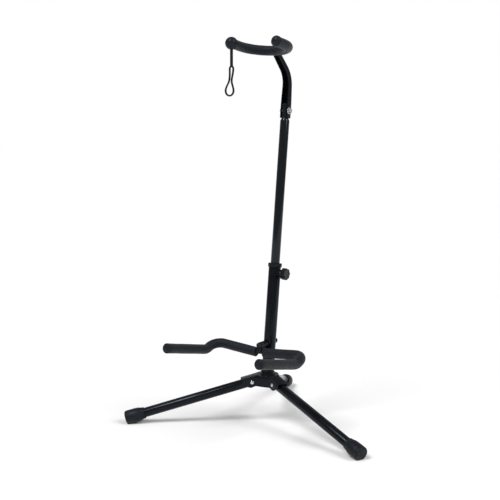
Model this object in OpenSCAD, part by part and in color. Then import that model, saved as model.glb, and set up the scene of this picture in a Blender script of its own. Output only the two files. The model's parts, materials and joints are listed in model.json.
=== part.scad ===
// Folding guitar stand: tripod base, telescopic leaning pole, foam-covered cradle
// arms below and a foam-covered yoke for the guitar's neck above.
// The front of the stand faces -Y, +Z is up and the pole leans back towards +Y.

/* [Tripod] */
// Length of a leg, from its rivet to the middle of the foot
leg_len = 259; // [200:1:320]
// Outer diameter of a leg tube
leg_d = 20; // [16:0.5:24]
// Wall of a leg tube
leg_wall = 1.5; // [1:0.1:2.5]
// Slope of a leg below the horizontal, in degrees
leg_dip = 16.3; // [10:0.1:24]
// Heading of the left leg, in degrees from +X
leg_heading_left = 217.5; // [210:0.5:225]
// Heading of the right leg, in degrees from +X
leg_heading_right = 341.5; // [330:0.5:350]
// Heading of the rear leg, in degrees from +X
leg_heading_rear = 115.5; // [100:0.5:125]
// Distance of a leg's rivet from the pole's axis
pivot_r = 31.6; // [28:0.1:40]
// Height of a leg's axis at the middle of its foot
foot_axis_h = 14.7; // [12:0.1:18]

/* [Feet] */
// Largest diameter of a rubber foot
foot_d = 29.6; // [26:0.1:34]
// Length of the foot's sleeve, back from the middle of the foot
foot_back = 26; // [20:1:36]
// Length of the foot's closed end, on from the middle of the foot
foot_front = 15; // [12:0.5:20]
// Thickness of rubber at the sleeve's mouth
foot_lip = 1.6; // [1:0.1:3]
// Radius of the foot's rounded end
foot_round = 4; // [2:0.5:6]

/* [Hub] */
// Thickness of the pressed steel plates
plate_t = 1.5; // [1:0.1:2.5]
// Gap between a leg tube and the plates round it
leg_gap = 0.5; // [0.3:0.1:1]
// Distance from the pole's axis to the flat between two legs
hub_flat = 22.5; // [20:0.5:26]
// Reach of a leg channel beyond its rivet
channel_reach = 21; // [14:1:28]
// Length of the sleeve that holds the pole
sleeve_len = 28; // [20:1:40]
// Height of the sleeve's top above the rivets, along the pole
sleeve_top = 22; // [18:1:30]
// Wall of the sleeve
sleeve_wall = 2; // [1.5:0.1:3]
// Diameter of a leg rivet's shank
rivet_d = 5; // [4:0.5:6]
// Diameter of a leg rivet's head
rivet_head_d = 8; // [7:0.5:10]
// Height of a leg rivet's head
rivet_head_h = 1.6; // [1:0.1:2.5]

/* [Pole] */
// Lean of the pole, in degrees
lean = 6.6; // [0:0.1:10]
// Outer diameter of the outer tube
tube_d = 25.4; // [22:0.1:30]
// Wall of the outer tube
tube_wall = 1.7; // [1:0.1:2.5]
// Top of the outer tube, along the pole from the rivets' height
tube_top = 239; // [210:1:320]
// Bottom of the outer tube, along the pole
tube_bottom = -8; // [-10:1:0]
// Outer diameter of the mast
mast_d = 19; // [16:0.1:22]
// Wall of the mast
mast_wall = 1.5; // [1:0.1:2]
// Length of the mast
mast_len = 407; // [340:1:480]
// Length of mast inside the outer tube
mast_overlap = 69; // [60:1:90]
// Diameter of the collar's flange
collar_d = 28.6; // [27:0.1:34]
// Height of the collar's flange
collar_h = 7.7; // [4:0.1:12]
// Length of the collar's spigot inside the tube
spigot_len = 30; // [24:1:34]
// Length of the guide bush at the mast's foot
guide_len = 15; // [8:1:20]

/* [Height clamp] */
// Distance of the clamp screw below the outer tube's top
clamp_drop = 13; // [10:0.5:18]
// Diameter of the clamp's welded boss
boss_d = 14; // [11:0.5:16]
// Reach of the clamp's boss from the pole's axis
boss_reach = 17; // [15:0.5:22]
// Diameter of the clamp screw
stud_d = 7; // [5:0.5:8]
// Diameter over the knob's lobes
knob_d = 24.6; // [20:0.2:34]
// Thickness of the knob
knob_t = 11; // [8:0.5:16]
// Number of lobes on the knob
knob_lobes = 8; // [5:1:10]

/* [Cradle] */
// Height of the cradle's bolt, along the pole from the rivets' height
cradle_at = 82; // [70:1:120]
// Length of the spacer between the pole's axis and the cradle's plates
cradle_boss_len = 26.2; // [22:0.5:34]
// Diameter of the cradle's welded boss
cradle_boss_d = 12; // [10.5:0.5:16]
// Width of the cradle's plates
cradle_plate_w = 11; // [10:0.5:16]
// Thickness of the cradle's plates
cradle_plate_t = 2.5; // [2:0.1:4]
// Depth of an arm's root below the bolt
arm_drop = 16.5; // [14:0.5:20]
// Half the distance between the arms
arm_half = 112; // [90:1:130]
// Rise of an arm at its outer corner, from its root
arm_rise = 11; // [4:0.5:16]
// Forward shift of an arm at its outer corner, from its root
arm_skew = 7; // [0:0.5:14]
// Fall of an arm behind the outer corner
arm_fall = 12; // [6:0.5:16]
// Length of the falling stretch, seen from above
arm_fall_len = 31; // [26:1:44]
// Length of an arm's straight front, seen from above
arm_front = 129; // [90:1:150]
// Rise of an arm's straight front
arm_tip_rise = 26.5; // [15:0.5:35]
// Radius of an arm's bends
arm_bend_r = 20; // [14:1:26]
// Diameter of the arms' and the yoke's steel rod
rod_d = 8; // [6:0.5:9]
// Diameter of the foam sleeves
foam_d = 20; // [17:0.5:22]
// Diameter of the cradle's bolt
bolt_d = 8; // [6:0.5:8]
// Thickness of an arm's ear
ear_t = 3; // [2:0.1:3.5]

/* [Neck and yoke] */
// Overlap of the neck channel and the mast
neck_lap = 30; // [26:0.5:40]
// Height of the yoke above the mast's top, along the pole
neck_rise = 100; // [90:1:130]
// Distance of the yoke's back in front of the mast's axis
yoke_reach = 51.5; // [45:0.5:60]
// Bend of the neck channel, in degrees
neck_bend = 50; // [40:1:60]
// Radius of the neck channel's bend
neck_bend_r = 46; // [36:1:50]
// Width of the neck channel at its foot
neck_w = 17.2; // [16:0.1:19]
// Width of the neck channel at its top
neck_w_top = 14; // [12:0.1:16]
// Depth of the neck channel at its foot
neck_depth = 15; // [13:0.5:18]
// Depth of the neck channel at its top
neck_depth_top = 9; // [8:0.5:11]
// Half the distance between the yoke's arms
yoke_half = 53; // [46:1:60]
// Length of a yoke arm's straight tip
yoke_straight = 25; // [20:1:40]
// Upward slope of the yoke, in degrees
yoke_slope = 9; // [4:0.5:14]
// Diameter of the ball on the yoke's left tip
ball_d = 25.4; // [23:0.2:28]
// Diameter of the cap on the yoke's right tip
tip_cap_d = 21.6; // [21:0.2:24]

/* [Strap] */
// Length of the strap below its head
strap_drop = 95; // [85:1:115]
// Width of the strap's shank
strap_w = 5.6; // [4:0.1:7]
// Thickness of the strap
strap_t = 3.2; // [2.5:0.1:4]
// Width of the rubber round the keyhole
strap_band = 3.3; // [2.5:0.1:4]
// Outer width of the keyhole's upper lobe
shoulder_w = 12; // [10:0.5:14]
// Outer width of the keyhole's neck
waist_w = 9.2; // [8.6:0.1:10]
// Outer width of the keyhole's eye
eye_w = 23; // [19:0.5:28]
// Sideways lean of the eye
strap_lean = 5; // [0:0.5:8]

/* [Hidden] */
$fn = 96;
fit = 0.05;            // radial clearance of a running fit
clear = 0.3;           // gap between pieces that only pass each other
weld = 0.4;            // bite of a welded joint
swell = 0.1;           // how much thicker a rod is at a bend
run_on = 0.6;          // how far a straight run of rod reaches into a bend
X = [1, 0, 0];
Y = [0, 1, 0];
Z = [0, 0, 1];

// the pole
pivot_h = foot_axis_h + leg_len * sin(leg_dip);  // height of the leg rivets
hub = [0, 0, pivot_h];
pole = [0, sin(lean), cos(lean)];
ahead = [0, -cos(lean), sin(lean)];
tube_id = tube_d - 2 * tube_wall;
mast_bottom = tube_top - mast_overlap;
mast_top = mast_bottom + mast_len;
clamp_at = tube_top - clamp_drop;
sleeve_d = tube_d + 2 * sleeve_wall;

// the legs
headings = [leg_heading_left, leg_heading_right, leg_heading_rear + 360];
cheek_in = leg_d / 2 + leg_gap;
cheek_out = cheek_in + plate_t;
foot_r = foot_d / 2;
star_r = hub_flat + plate_t;
star_h = leg_d / 2 + leg_gap;
plate_low = 8;         // depth of the hub's plates below the rivets
cheek_belly = 2.5;     // how far a cheek hangs below that, under its rivet
cheek_nose = 4;        // size of the chamfer at a cheek's outer end
web_back = 15;         // reach of a leg's web behind its rivet
plate_high = web_back * sin(leg_dip) + star_h * cos(leg_dip);
rivet_flat = 0.6;      // width of a rivet head's flat top, as a share of the head

// the cradle, measured forward from the pole's axis at the bolt
bolt_point = hub + pole * cradle_at;
back_plate_y = cradle_boss_len;
arm_y = back_plate_y + cradle_plate_t + clear + rod_d / 2;
front_plate_y = arm_y + rod_d / 2 + clear;
cradle_front_y = front_plate_y + cradle_plate_t;
plate_below = arm_drop + 1;
stop_half = 5;         // half the width of the block that the arms rest against
stop_top = arm_drop - rod_d / 2 + 0.5;
arm_root_x = stop_half + 1;
foam_start_x = cradle_plate_w / 2 + 4;
arm_cap_len = 6;
arm_cap_round = 2;
arm_rod_back = 3;      // distance of the rod's end from the cap's face
cap_proud = 0.3;       // how far a cap stands proud of its foam
ear_d = 12;
ear_gap = 0.4;         // gap between the two ears
ear_foot = 4;          // height of an ear's foot, where it joins the rod
bolt_head = [10.5, 7, 1.6, 1.4];  // a bolt head's diameters, then its rim's and its dome's height
bolt_tail = 6;         // reach of the cradle's bolt behind the tube
saddle_d = 11;
saddle_t = 2;
cap_nut_d = 12;

// the neck and the yoke
channel_foot = mast_top - neck_lap;
neck_run = (yoke_reach - neck_bend_r * (1 - cos(neck_bend))) / sin(neck_bend);
yoke_at = mast_top + neck_rise;
bend_at = yoke_at - neck_bend_r * sin(neck_bend) - neck_run * cos(neck_bend);
yoke_back = hub + pole * yoke_at + ahead * yoke_reach;
yoke_ahead = [0, -cos(yoke_slope), sin(yoke_slope)];
swage_d = neck_w - 2 * plate_t - 2 * fit;
swage_len = 5;         // length of the cone where the mast narrows
neck_bolt_at = mast_top - 15;
neck_bolt_d = 6;
neck_bolt_head = [11, 7, 2, 1];
neck_nut = [14, 1, 12, 3.4];  // diameter and height of the nut's flange, then of its hexagon
neck_rivet_d = 4;
neck_rivet_head = [6.6, 4, 0.7, 0.8];
neck_rivets_at = [mast_top - 26, mast_top - 4];
guide_floor = 2;
cap_slip = 2;          // distance of the yoke's rod from the tips' centres
foam_slip = 5;         // distance of the yoke's foam from the tips' centres
dome_share = [0.6, 1.17];  // drop and radius of the right cap's dome, as shares of its radius

// the strap, whose depths are measured down from its head
strap_head_d = 6;
strap_hinge = 9.5;                        // depth of the strap's head below the ball's centre
strap_steps = 8;                          // points along each stretch of its outline
shoulder_at = 40;                         // depth of the upper lobe's centre
eye_at = strap_drop - eye_w / 2;          // depth of the eye's centre
waist_at = (shoulder_at + eye_at) / 2;    // depth of the neck

// straight-sided outline of a rod with rounded corners
function unit(v) = v / norm(v);
function corner_cut(p, i, r) =
    let (a = unit(p[i - 1] - p[i]), b = unit(p[i + 1] - p[i]))
    r / tan(acos(a * b) / 2);
function run_start(p, r, i) =
    i == 0 ? p[0] : p[i] + unit(p[i + 1] - p[i]) * corner_cut(p, i, r[i - 1]);
function run_end(p, r, i) =
    i == len(p) - 2 ? p[i + 1] : p[i + 1] + unit(p[i] - p[i + 1]) * corner_cut(p, i + 1, r[i]);
function frame_at(o, u, v, w) =
    [[u.x, v.x, w.x, o.x], [u.y, v.y, w.y, o.y], [u.z, v.z, w.z, o.z], [0, 0, 0, 1]];
function flip_x(p) = [for (q = p) [-q.x, q.y, q.z]];

// points of a cradle arm, right-hand side, from its root to its tip
root_y = bolt_point.y - arm_y;
root_z = bolt_point.z - arm_drop;
arm_corner = [arm_half, root_y - arm_skew, root_z + arm_rise];
arm_low = arm_corner + [0, -arm_fall_len, -arm_fall];
arm_tip = arm_low + [0, -arm_front, arm_tip_rise];
arm_bends = [arm_bend_r, arm_bend_r];
tip_dir = unit(arm_tip - arm_low);
root_dir = unit(arm_corner - [arm_root_x, root_y, root_z]);
function arm_path(x, back) = [
    [arm_root_x, root_y, root_z] + root_dir * (x - arm_root_x) / root_dir.x,
    arm_corner, arm_low, arm_tip - tip_dir * back];

// points of the yoke, from its left tip to its right tip
function yoke_path(back) = [
    yoke_back - X * yoke_half + yoke_ahead * (yoke_half + yoke_straight - back),
    yoke_back - X * yoke_half,
    yoke_back + X * yoke_half,
    yoke_back + X * yoke_half + yoke_ahead * (yoke_half + yoke_straight - back)];
yoke_flat = 6;         // straight stretch at the yoke's back
yoke_bends = [yoke_half - yoke_flat / 2, yoke_half - yoke_flat / 2];
ball = yoke_path(0)[0];

// the whole stand is shifted so that its box is centred over the origin
function leg_dir(h) = [cos(h) * cos(leg_dip), sin(h) * cos(leg_dip), -sin(leg_dip)];
function leg_pivot(h) = hub + [cos(h), sin(h), 0] * pivot_r;
function ring_reach(c, d, r, u) = c * u + r * norm(cross(d, u));
function foot_reach(h, u) =
    ring_reach(leg_pivot(h) + leg_dir(h) * (leg_len + foot_front - foot_round), leg_dir(h),
               foot_r - foot_round, u) + foot_round;
arm_cap_r = foam_d / 2 + cap_proud;
front_reach = ring_reach(arm_tip - tip_dir * arm_cap_round, tip_dir,
                         arm_cap_r - arm_cap_round, -Y) + arm_cap_round;
centre_x = (foot_reach(headings[1], X) - foot_reach(headings[0], -X)) / 2;
centre_y = (foot_reach(headings[2], Y) - front_reach) / 2;

// puts a piece, drawn about the hub's axis, in the stand's own frame
module in_frame() {
    translate([-centre_x, -centre_y, 0]) children();
}

// puts +Z along the pole, with its zero at the rivets' height and +Y behind
module on_pole(at = 0) {
    in_frame() translate(hub + pole * at) rotate([-lean, 0, 0]) children();
}

// puts +X along a leg from its rivet, and +Z square to the leg
module on_leg(h) {
    in_frame() translate(leg_pivot(h)) rotate([0, 0, h]) rotate([0, leg_dip, 0]) children();
}

// puts +Z forward from the pole's axis along the cradle's bolt, with +X to the right
module on_bolt() {
    in_frame() translate(bolt_point) rotate([90, 0, 0]) children();
}

// turns a cylinder's axis from Z to Y
module along_y() {
    rotate([90, 0, 0]) children();
}

// turns a cylinder's axis from Z to X
module along_x() {
    rotate([0, 90, 0]) children();
}

module pipe(d, bore, h) {
    difference() {
        cylinder(d = d, h = h);
        translate([0, 0, -1]) cylinder(d = bore, h = h + 2);
    }
}

// a round head: [rim's diameter, top's diameter, rim's height, height of the part above it]
module domed_head(head) {
    cylinder(d = head[0], h = head[2]);
    translate([0, 0, head[2]]) cylinder(d1 = head[0], d2 = head[1], h = head[3]);
}

// a straight run of rod between two points, run on by a little at each end
module bar(a, b, d, on_a, on_b) {
    w = unit(b - a);
    u = unit(cross(abs(w.z) < 0.9 ? Z : X, w));
    multmatrix(frame_at(a, u, cross(w, u), w))
        translate([0, 0, -on_a]) cylinder(d = d, h = norm(b - a) + on_a + on_b);
}

// a bend of rod at corner i of a path
module bend(p, i, r, d) {
    a = unit(p[i - 1] - p[i]);
    b = unit(p[i + 1] - p[i]);
    half = acos(a * b) / 2;
    centre = p[i] + unit(a + b) * r / sin(half);
    u = unit(p[i] + a * r / tan(half) - centre);
    multmatrix(frame_at(centre, u, -a, cross(u, -a)))
        rotate_extrude(angle = 180 - 2 * half) translate([r, 0]) circle(d = d + swell);
}

// a rod bent along a path, with one bend radius for each inner corner; each straight run
// ends inside the slightly swollen bends, so that the pieces of the rod join
module bent_rod(p, r, d) {
    for (i = [0:len(p) - 2])
        bar(run_start(p, r, i), run_end(p, r, i), d,
            i == 0 ? 0 : run_on, i == len(p) - 2 ? 0 : run_on);
    for (i = [1:len(p) - 2])
        bend(p, i, r[i - 1], d);
}

// ---- tripod ----

module leg_tube(h) {
    color([0.05, 0.05, 0.055]) on_leg(h) difference() {
        intersection() {
            translate([-leg_d, 0, 0]) along_x() pipe(leg_d, leg_d - 2 * leg_wall, leg_len + leg_d);
            union() {
                along_y() cylinder(d = leg_d - clear, h = leg_d, center = true);
                translate([0, -leg_d, -leg_d]) cube([leg_len + leg_d, 2 * leg_d, 2 * leg_d]);
            }
        }
        along_y() cylinder(d = rivet_d + 2 * fit, h = 2 * leg_d, center = true);
    }
}

// outline of a foot: distance along the leg, and radius
foot_bead = [3, 0.6];  // length and height of the bead at a foot's mouth
foot_swell = [0.46, 0.77, 0.5];  // where the foot's side bends twice, and the step between
module foot_outline() {
    mouth_r = leg_d / 2 + foot_lip;
    polygon([
        [0, -foot_back],
        [mouth_r, -foot_back],
        [mouth_r + foot_bead.y, foot_bead.x - foot_back],
        [foot_r - foot_swell.z, (foot_swell.x - 1) * foot_back],
        [foot_r, (foot_swell.y - 1) * foot_back],
        [foot_r, foot_front - foot_round],
        [foot_r - foot_round, foot_front - foot_round],
        [foot_r - foot_round, foot_front],
        [0, foot_front]]);
    translate([foot_r - foot_round, foot_front - foot_round]) circle(r = foot_round);
}

module foot(h) {
    color([0.09, 0.09, 0.1]) intersection() {
        on_leg(h) translate([leg_len, 0, 0]) along_x() difference() {
            rotate_extrude() foot_outline();
            translate([0, 0, -foot_back - 1]) cylinder(d = leg_d, h = foot_back + 1);
        }
        translate([-mast_top, -mast_top, 0]) cube([2 * mast_top, 2 * mast_top, mast_top]);
    }
}

module leg_rivet(h) {
    color([0.75, 0.75, 0.77]) on_leg(h) along_y() {
        cylinder(d = rivet_d, h = 2 * cheek_out, center = true);
        for (s = [0, 1])
            mirror([0, 0, s]) translate([0, 0, cheek_out])
                domed_head([rivet_head_d, rivet_head_d * rivet_flat,
                            rivet_head_h / 2, rivet_head_h / 2]);
    }
}

// ---- hub ----

// plan of the bent plate between two legs, at one face of the plate
function side_point(h, side, off, r) = [
    cos(h) * r - sin(h) * off * side,
    sin(h) * r + cos(h) * off * side];
function corner_r(half, off, flat) = (flat - off * sin(half)) / cos(half);
function plate_plan(h1, h2, off, flat, r_end) =
    let (half = (h2 - h1) / 2)
    [side_point(h1, 1, off, r_end),
     side_point(h1, 1, off, corner_r(half, off, flat)),
     side_point(h2, -1, off, corner_r(half, off, flat)),
     side_point(h2, -1, off, r_end)];

// side view of a leg's cheek: distance from the pole's axis, and height from the rivet
function beside_leg(x, z) = [
    pivot_r + x * cos(leg_dip) + z * sin(leg_dip),
    z * cos(leg_dip) - x * sin(leg_dip)];
module cheek_side() {
    polygon([
        [0, -plate_low],
        beside_leg(-rivet_d, -plate_low - cheek_belly / 2),
        beside_leg(rivet_d, -plate_low - cheek_belly),
        beside_leg(2 * rivet_d, -plate_low),
        beside_leg(channel_reach - cheek_nose, 0),
        beside_leg(channel_reach, cheek_nose),
        beside_leg(channel_reach, star_h),
        beside_leg(-web_back, star_h),
        [0, plate_high]]);
}

// the side view of one leg's cheek, kept to that leg's side of the line between two legs
module plate_half(h, middle, flip) {
    intersection() {
        rotate([0, 0, h]) along_y() linear_extrude(4 * leg_d, center = true) cheek_side();
        rotate([0, 0, middle]) mirror([0, flip, 0])
            translate([-4 * leg_d, -4 * leg_d, -sleeve_len])
                cube([8 * leg_d, 4 * leg_d + 1, 2 * sleeve_len]);
    }
}

module hub_plate(h1, h2) {
    r_end = pivot_r + channel_reach;
    outer = plate_plan(h1, h2, cheek_out, hub_flat, r_end);
    inner = plate_plan(h1, h2, cheek_in, hub_flat - plate_t, r_end);
    color([0.06, 0.06, 0.065]) difference() {
        in_frame() translate(hub) intersection() {
            translate([0, 0, -sleeve_len]) linear_extrude(2 * sleeve_len)
                polygon(concat(outer, [for (i = [3:-1:0]) inner[i]]));
            union() {
                plate_half(h1, (h1 + h2) / 2, 0);
                plate_half(h2, (h1 + h2) / 2, 1);
            }
        }
        for (h = [h1, h2])
            on_leg(h) along_y() cylinder(d = rivet_d, h = 4 * leg_d, center = true);
    }
}

module hub_star() {
    color([0.06, 0.06, 0.065]) difference() {
        union() {
            in_frame() translate(hub + Z * plate_high) cylinder(r = star_r, h = plate_t);
            for (h = headings)
                on_leg(h) translate([-web_back, -cheek_out, star_h])
                    cube([channel_reach + web_back, 2 * cheek_out, plate_t]);
        }
        on_pole(0) cylinder(d = sleeve_d, h = 2 * sleeve_top);
    }
}

module hub_sleeve() {
    color([0.06, 0.06, 0.065]) on_pole(sleeve_top - sleeve_len) pipe(sleeve_d, tube_d, sleeve_len);
}

// ---- pole ----

module outer_tube() {
    color([0.04, 0.04, 0.045]) difference() {
        on_pole(tube_bottom) pipe(tube_d, tube_id, tube_top - tube_bottom);
        on_pole(clamp_at) along_x() cylinder(d = stud_d + 1, h = tube_d);
        on_bolt() cylinder(d = bolt_d, h = 2 * tube_d, center = true);
    }
}

module tube_collar() {
    color([0.1, 0.1, 0.105]) difference() {
        on_pole(tube_top) {
            cylinder(d = collar_d, h = collar_h - 1);
            translate([0, 0, collar_h - 1]) cylinder(d1 = collar_d, d2 = collar_d - 2, h = 1);
            translate([0, 0, -spigot_len]) cylinder(d = tube_id, h = spigot_len);
        }
        on_pole(0) cylinder(d = mast_d + 2 * fit, h = 2 * tube_top);
        on_pole(clamp_at) along_x() cylinder(d = stud_d + 1, h = tube_d);
    }
}

module mast_guide() {
    color([0.2, 0.2, 0.21]) on_pole(mast_bottom) difference() {
        cylinder(d = tube_id - 2 * fit, h = guide_len);
        translate([0, 0, guide_floor]) cylinder(d = mast_d + 2 * fit, h = guide_len);
        translate([0, 0, -1]) cylinder(d = mast_d - 2 * mast_wall, h = guide_len);
    }
}

// the mast stands on the floor of its guide and is narrowed where the channel holds it
module mast_tube() {
    foot = guide_floor + fit;
    cone_at = mast_len - neck_lap - swage_len;
    outer = mast_d / 2;
    inner = outer - mast_wall;
    color([0.03, 0.03, 0.035]) difference() {
        on_pole(mast_bottom) rotate_extrude() polygon([
            [inner, foot],
            [outer, foot],
            [outer, cone_at],
            [swage_d / 2, cone_at + swage_len],
            [swage_d / 2, mast_len],
            [swage_d / 2 - mast_wall, mast_len],
            [swage_d / 2 - mast_wall, cone_at + swage_len],
            [inner, cone_at]]);
        neck_holes();
    }
}

// ---- height clamp ----

module clamp_boss() {
    color([0.06, 0.06, 0.065]) difference() {
        on_pole(clamp_at) along_x() cylinder(d = boss_d, h = boss_reach);
        on_pole(clamp_at - boss_d) cylinder(d = tube_d, h = 2 * boss_d);
        on_pole(clamp_at) along_x() cylinder(d = stud_d + 2 * fit, h = 2 * boss_reach);
    }
}

washer_t = 1.6;
knob_neck = 1.6;       // height of the knob's round base
knob_x = boss_reach + clear + washer_t + knob_neck;

module clamp_washer() {
    color([0.75, 0.75, 0.77]) on_pole(clamp_at) translate([boss_reach + clear, 0, 0])
        along_x() pipe(boss_d - 1, stud_d, washer_t);
}

module clamp_stud() {
    color([0.7, 0.7, 0.72]) on_pole(clamp_at) translate([mast_d / 2 + 0.1, 0, 0])
        along_x() cylinder(d = stud_d, h = knob_x + knob_t / 2 - mast_d / 2 - 0.1);
}

// the knob's lobed outline
knob_dip = 0.2;        // depth of the hollows between the lobes, as a share of the radius
knob_steps = 12;       // points round one lobe
knob_outline = [for (i = [0:knob_lobes * knob_steps - 1])
    let (t = i * 360 / (knob_lobes * knob_steps), wave = abs(cos(knob_lobes * t / 2)))
    [cos(t), sin(t)] * knob_d / 2 * (1 - knob_dip * (1 - wave))];

module clamp_knob() {
    color([0.03, 0.03, 0.035]) on_pole(clamp_at) translate([knob_x, 0, 0]) along_x() difference() {
        union() {
            translate([0, 0, -knob_neck]) cylinder(d = boss_d - 2, h = 2 * knob_neck);
            linear_extrude(knob_t) polygon(knob_outline);
        }
        translate([0, 0, -2 * knob_neck]) cylinder(d = stud_d, h = 2 * knob_neck + knob_t / 2);
    }
}

// ---- cradle ----

module cradle_boss() {
    color([0.06, 0.06, 0.065]) difference() {
        on_bolt() cylinder(d = cradle_boss_d, h = cradle_boss_len);
        on_pole(0) cylinder(d = tube_d, h = 2 * cradle_at);
        on_bolt() translate([0, 0, -1]) cylinder(d = bolt_d, h = cradle_boss_len + 2);
    }
}

module cradle_plate(y) {
    on_bolt() translate([0, 0, y]) linear_extrude(cradle_plate_t) difference() {
        union() {
            translate([-cradle_plate_w / 2, -plate_below])
                square([cradle_plate_w, plate_below]);
            circle(d = cradle_plate_w);
        }
        circle(d = bolt_d);
    }
}

module cradle_back_plate() {
    color([0.06, 0.06, 0.065]) cradle_plate(back_plate_y);
}

module cradle_front_plate() {
    color([0.06, 0.06, 0.065]) cradle_plate(front_plate_y);
}

module cradle_stop() {
    gap = front_plate_y - back_plate_y - cradle_plate_t;
    color([0.08, 0.08, 0.085]) on_bolt()
        translate([-stop_half, -plate_below, back_plate_y + cradle_plate_t])
            cube([2 * stop_half, plate_below - stop_top, gap]);
}

module cradle_bolt() {
    color([0.4, 0.4, 0.42]) on_bolt() {
        translate([0, 0, -tube_d / 2 - bolt_tail])
            cylinder(d = bolt_d, h = tube_d / 2 + bolt_tail + cradle_front_y);
        translate([0, 0, cradle_front_y]) domed_head(bolt_head);
    }
}

module cradle_washer() {
    color([0.7, 0.7, 0.72]) difference() {
        on_bolt() translate([0, 0, -tube_d / 2 - saddle_t]) cylinder(d = saddle_d, h = 2 * saddle_t);
        on_pole(0) cylinder(d = tube_d, h = 2 * cradle_at);
        on_bolt() cylinder(d = bolt_d, h = 2 * tube_d, center = true);
    }
}

module cradle_cap_nut() {
    deep = bolt_tail - saddle_t;
    color([0.04, 0.04, 0.045]) on_bolt() translate([0, 0, -tube_d / 2 - saddle_t])
        mirror([0, 0, 1]) difference() {
            union() {
                cylinder(d = cap_nut_d, h = deep);
                translate([0, 0, deep]) intersection() {
                    sphere(d = cap_nut_d);
                    cylinder(d = cap_nut_d, h = cap_nut_d);
                }
            }
            translate([0, 0, -1]) cylinder(d = bolt_d, h = 1 + deep);
        }
}

// side -1 is the left arm and side 1 the right one
function arm_of(side, x, back) = side < 0 ? flip_x(arm_path(x, back)) : arm_path(x, back);

module cradle_ear(side) {
    y = side < 0 ? arm_y - ear_gap / 2 - ear_t : arm_y + ear_gap / 2;
    foot_x = foam_start_x - 2 * clear;
    color([0.06, 0.06, 0.065]) on_bolt() mirror([side > 0 ? 1 : 0, 0, 0]) translate([0, 0, y])
        linear_extrude(ear_t) difference() {
            union() {
                circle(d = ear_d);
                polygon([
                    [-ear_d / 2, 0],
                    [-foot_x, ear_foot / 2 - arm_drop],
                    [-foot_x, -ear_foot / 2 - arm_drop],
                    [-arm_root_x, -ear_foot / 2 - arm_drop],
                    [-arm_root_x, 1.5 - stop_top],
                    [0, -ear_d * 0.4]]);
            }
            circle(d = bolt_d + 2 * fit);
        }
}

module arm_rod(side) {
    bent_rod(arm_of(side, arm_root_x, arm_rod_back), arm_bends, rod_d);
}

module cradle_rod(side) {
    color([0.06, 0.06, 0.065]) difference() {
        in_frame() arm_rod(side);
        cradle_ear(side);
    }
}

module cradle_foam(side) {
    color([0.12, 0.12, 0.13]) in_frame() difference() {
        bent_rod(arm_of(side, foam_start_x, arm_cap_len), arm_bends, foam_d);
        arm_rod(side);
    }
}

// a flat-faced cap with a rounded rim, drawn along +Z with its outer face at zero
module tip_cap(d, len, round) {
    rotate_extrude() {
        translate([0, -len]) square([d / 2, len - round]);
        translate([0, -len]) square([d / 2 - round, len]);
        translate([d / 2 - round, -round]) intersection() {
            circle(r = round);
            square(round);
        }
    }
}

module cradle_cap(side) {
    tip = arm_of(side, arm_root_x, 0)[3];
    color([0.07, 0.07, 0.075]) in_frame() difference() {
        multmatrix(frame_at(tip, X, cross(tip_dir, X), tip_dir))
            tip_cap(2 * arm_cap_r, arm_cap_len, arm_cap_round);
        arm_rod(side);
    }
}

// ---- neck ----

// the neck channel's centre line: along the pole, ahead of it, and the turn so far
bend_steps = 12;
neck_end = neck_run - rod_d / 2 + weld;
function neck_bent(a) = [bend_at + neck_bend_r * sin(a), neck_bend_r * (1 - cos(a))];
neck_line = concat(
    [[channel_foot, 0, 0], [mast_top, 0, 0]],
    [for (i = [0:bend_steps]) let (a = neck_bend * i / bend_steps) [each neck_bent(a), a]],
    [[each (neck_bent(neck_bend) + [cos(neck_bend), sin(neck_bend)] * neck_end), neck_bend]]);
neck_count = len(neck_line);
function lerp(a, b, t) = a + (b - a) * t;

// one ring of the channel: a U, open to the front, square to the centre line; the channel
// narrows from the mast's top on, and its web lies against the back of the mast
neck_web = swage_d / 2 + fit + plate_t;
neck_round = 2;        // size of the channel's outer corners
neck_ease = neck_round * 0.3;
function neck_share(i) =
    max(0, (neck_line[i].x - mast_top) / (neck_line[neck_count - 1].x - mast_top));
function neck_ring(i) =
    let (t = neck_share(i), w = lerp(neck_w, neck_w_top, t) / 2,
         back = lerp(neck_web, neck_depth_top / 2, t),
         front = lerp(neck_web - neck_depth, -neck_depth_top / 2, t),
         k = plate_t, c = neck_round, e = neck_ease,
         u = [[-w, front], [-w, back - c], [-w + e, back - e], [-w + c, back],
              [w - c, back], [w - e, back - e], [w, back - c], [w, front],
              [w - k, front], [w - k, back - k], [-w + k, back - k], [-w + k, front]])
    [for (q = u) [q.x,
        q.y * cos(neck_line[i][2]) - neck_line[i].y,
        q.y * sin(neck_line[i][2]) + neck_line[i].x]];
neck_sides = 12;

module neck_body() {
    points = [for (i = [0:neck_count - 1]) each neck_ring(i)];
    sides = [for (i = [0:neck_count - 2], j = [0:neck_sides - 1])
        let (k = (j + 1) % neck_sides, a = i * neck_sides, b = a + neck_sides)
        each [[a + j, b + j, b + k], [a + j, b + k, a + k]]];
    // an end's U is closed by its web and two flanges
    foot_cap = [[11, 0, 1], [11, 1, 2], [11, 2, 10], [10, 2, 3], [10, 3, 4], [10, 4, 5],
                [10, 5, 9], [9, 5, 6], [9, 6, 8], [8, 6, 7]];
    last = (neck_count - 1) * neck_sides;
    top_cap = [for (f = foot_cap) [for (j = [2:-1:0]) last + f[j]]];
    polyhedron(points, concat(sides, foot_cap, top_cap));
}

module neck_holes() {
    on_pole(neck_bolt_at) along_x() cylinder(d = neck_bolt_d, h = 2 * neck_w, center = true);
    for (at = neck_rivets_at)
        on_pole(at) along_x() cylinder(d = neck_rivet_d, h = 2 * neck_w, center = true);
}

module neck_channel() {
    color([0.05, 0.05, 0.055]) difference() {
        on_pole(0) neck_body();
        neck_holes();
        in_frame() bent_rod(yoke_path(0), yoke_bends, rod_d);
    }
}

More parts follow.
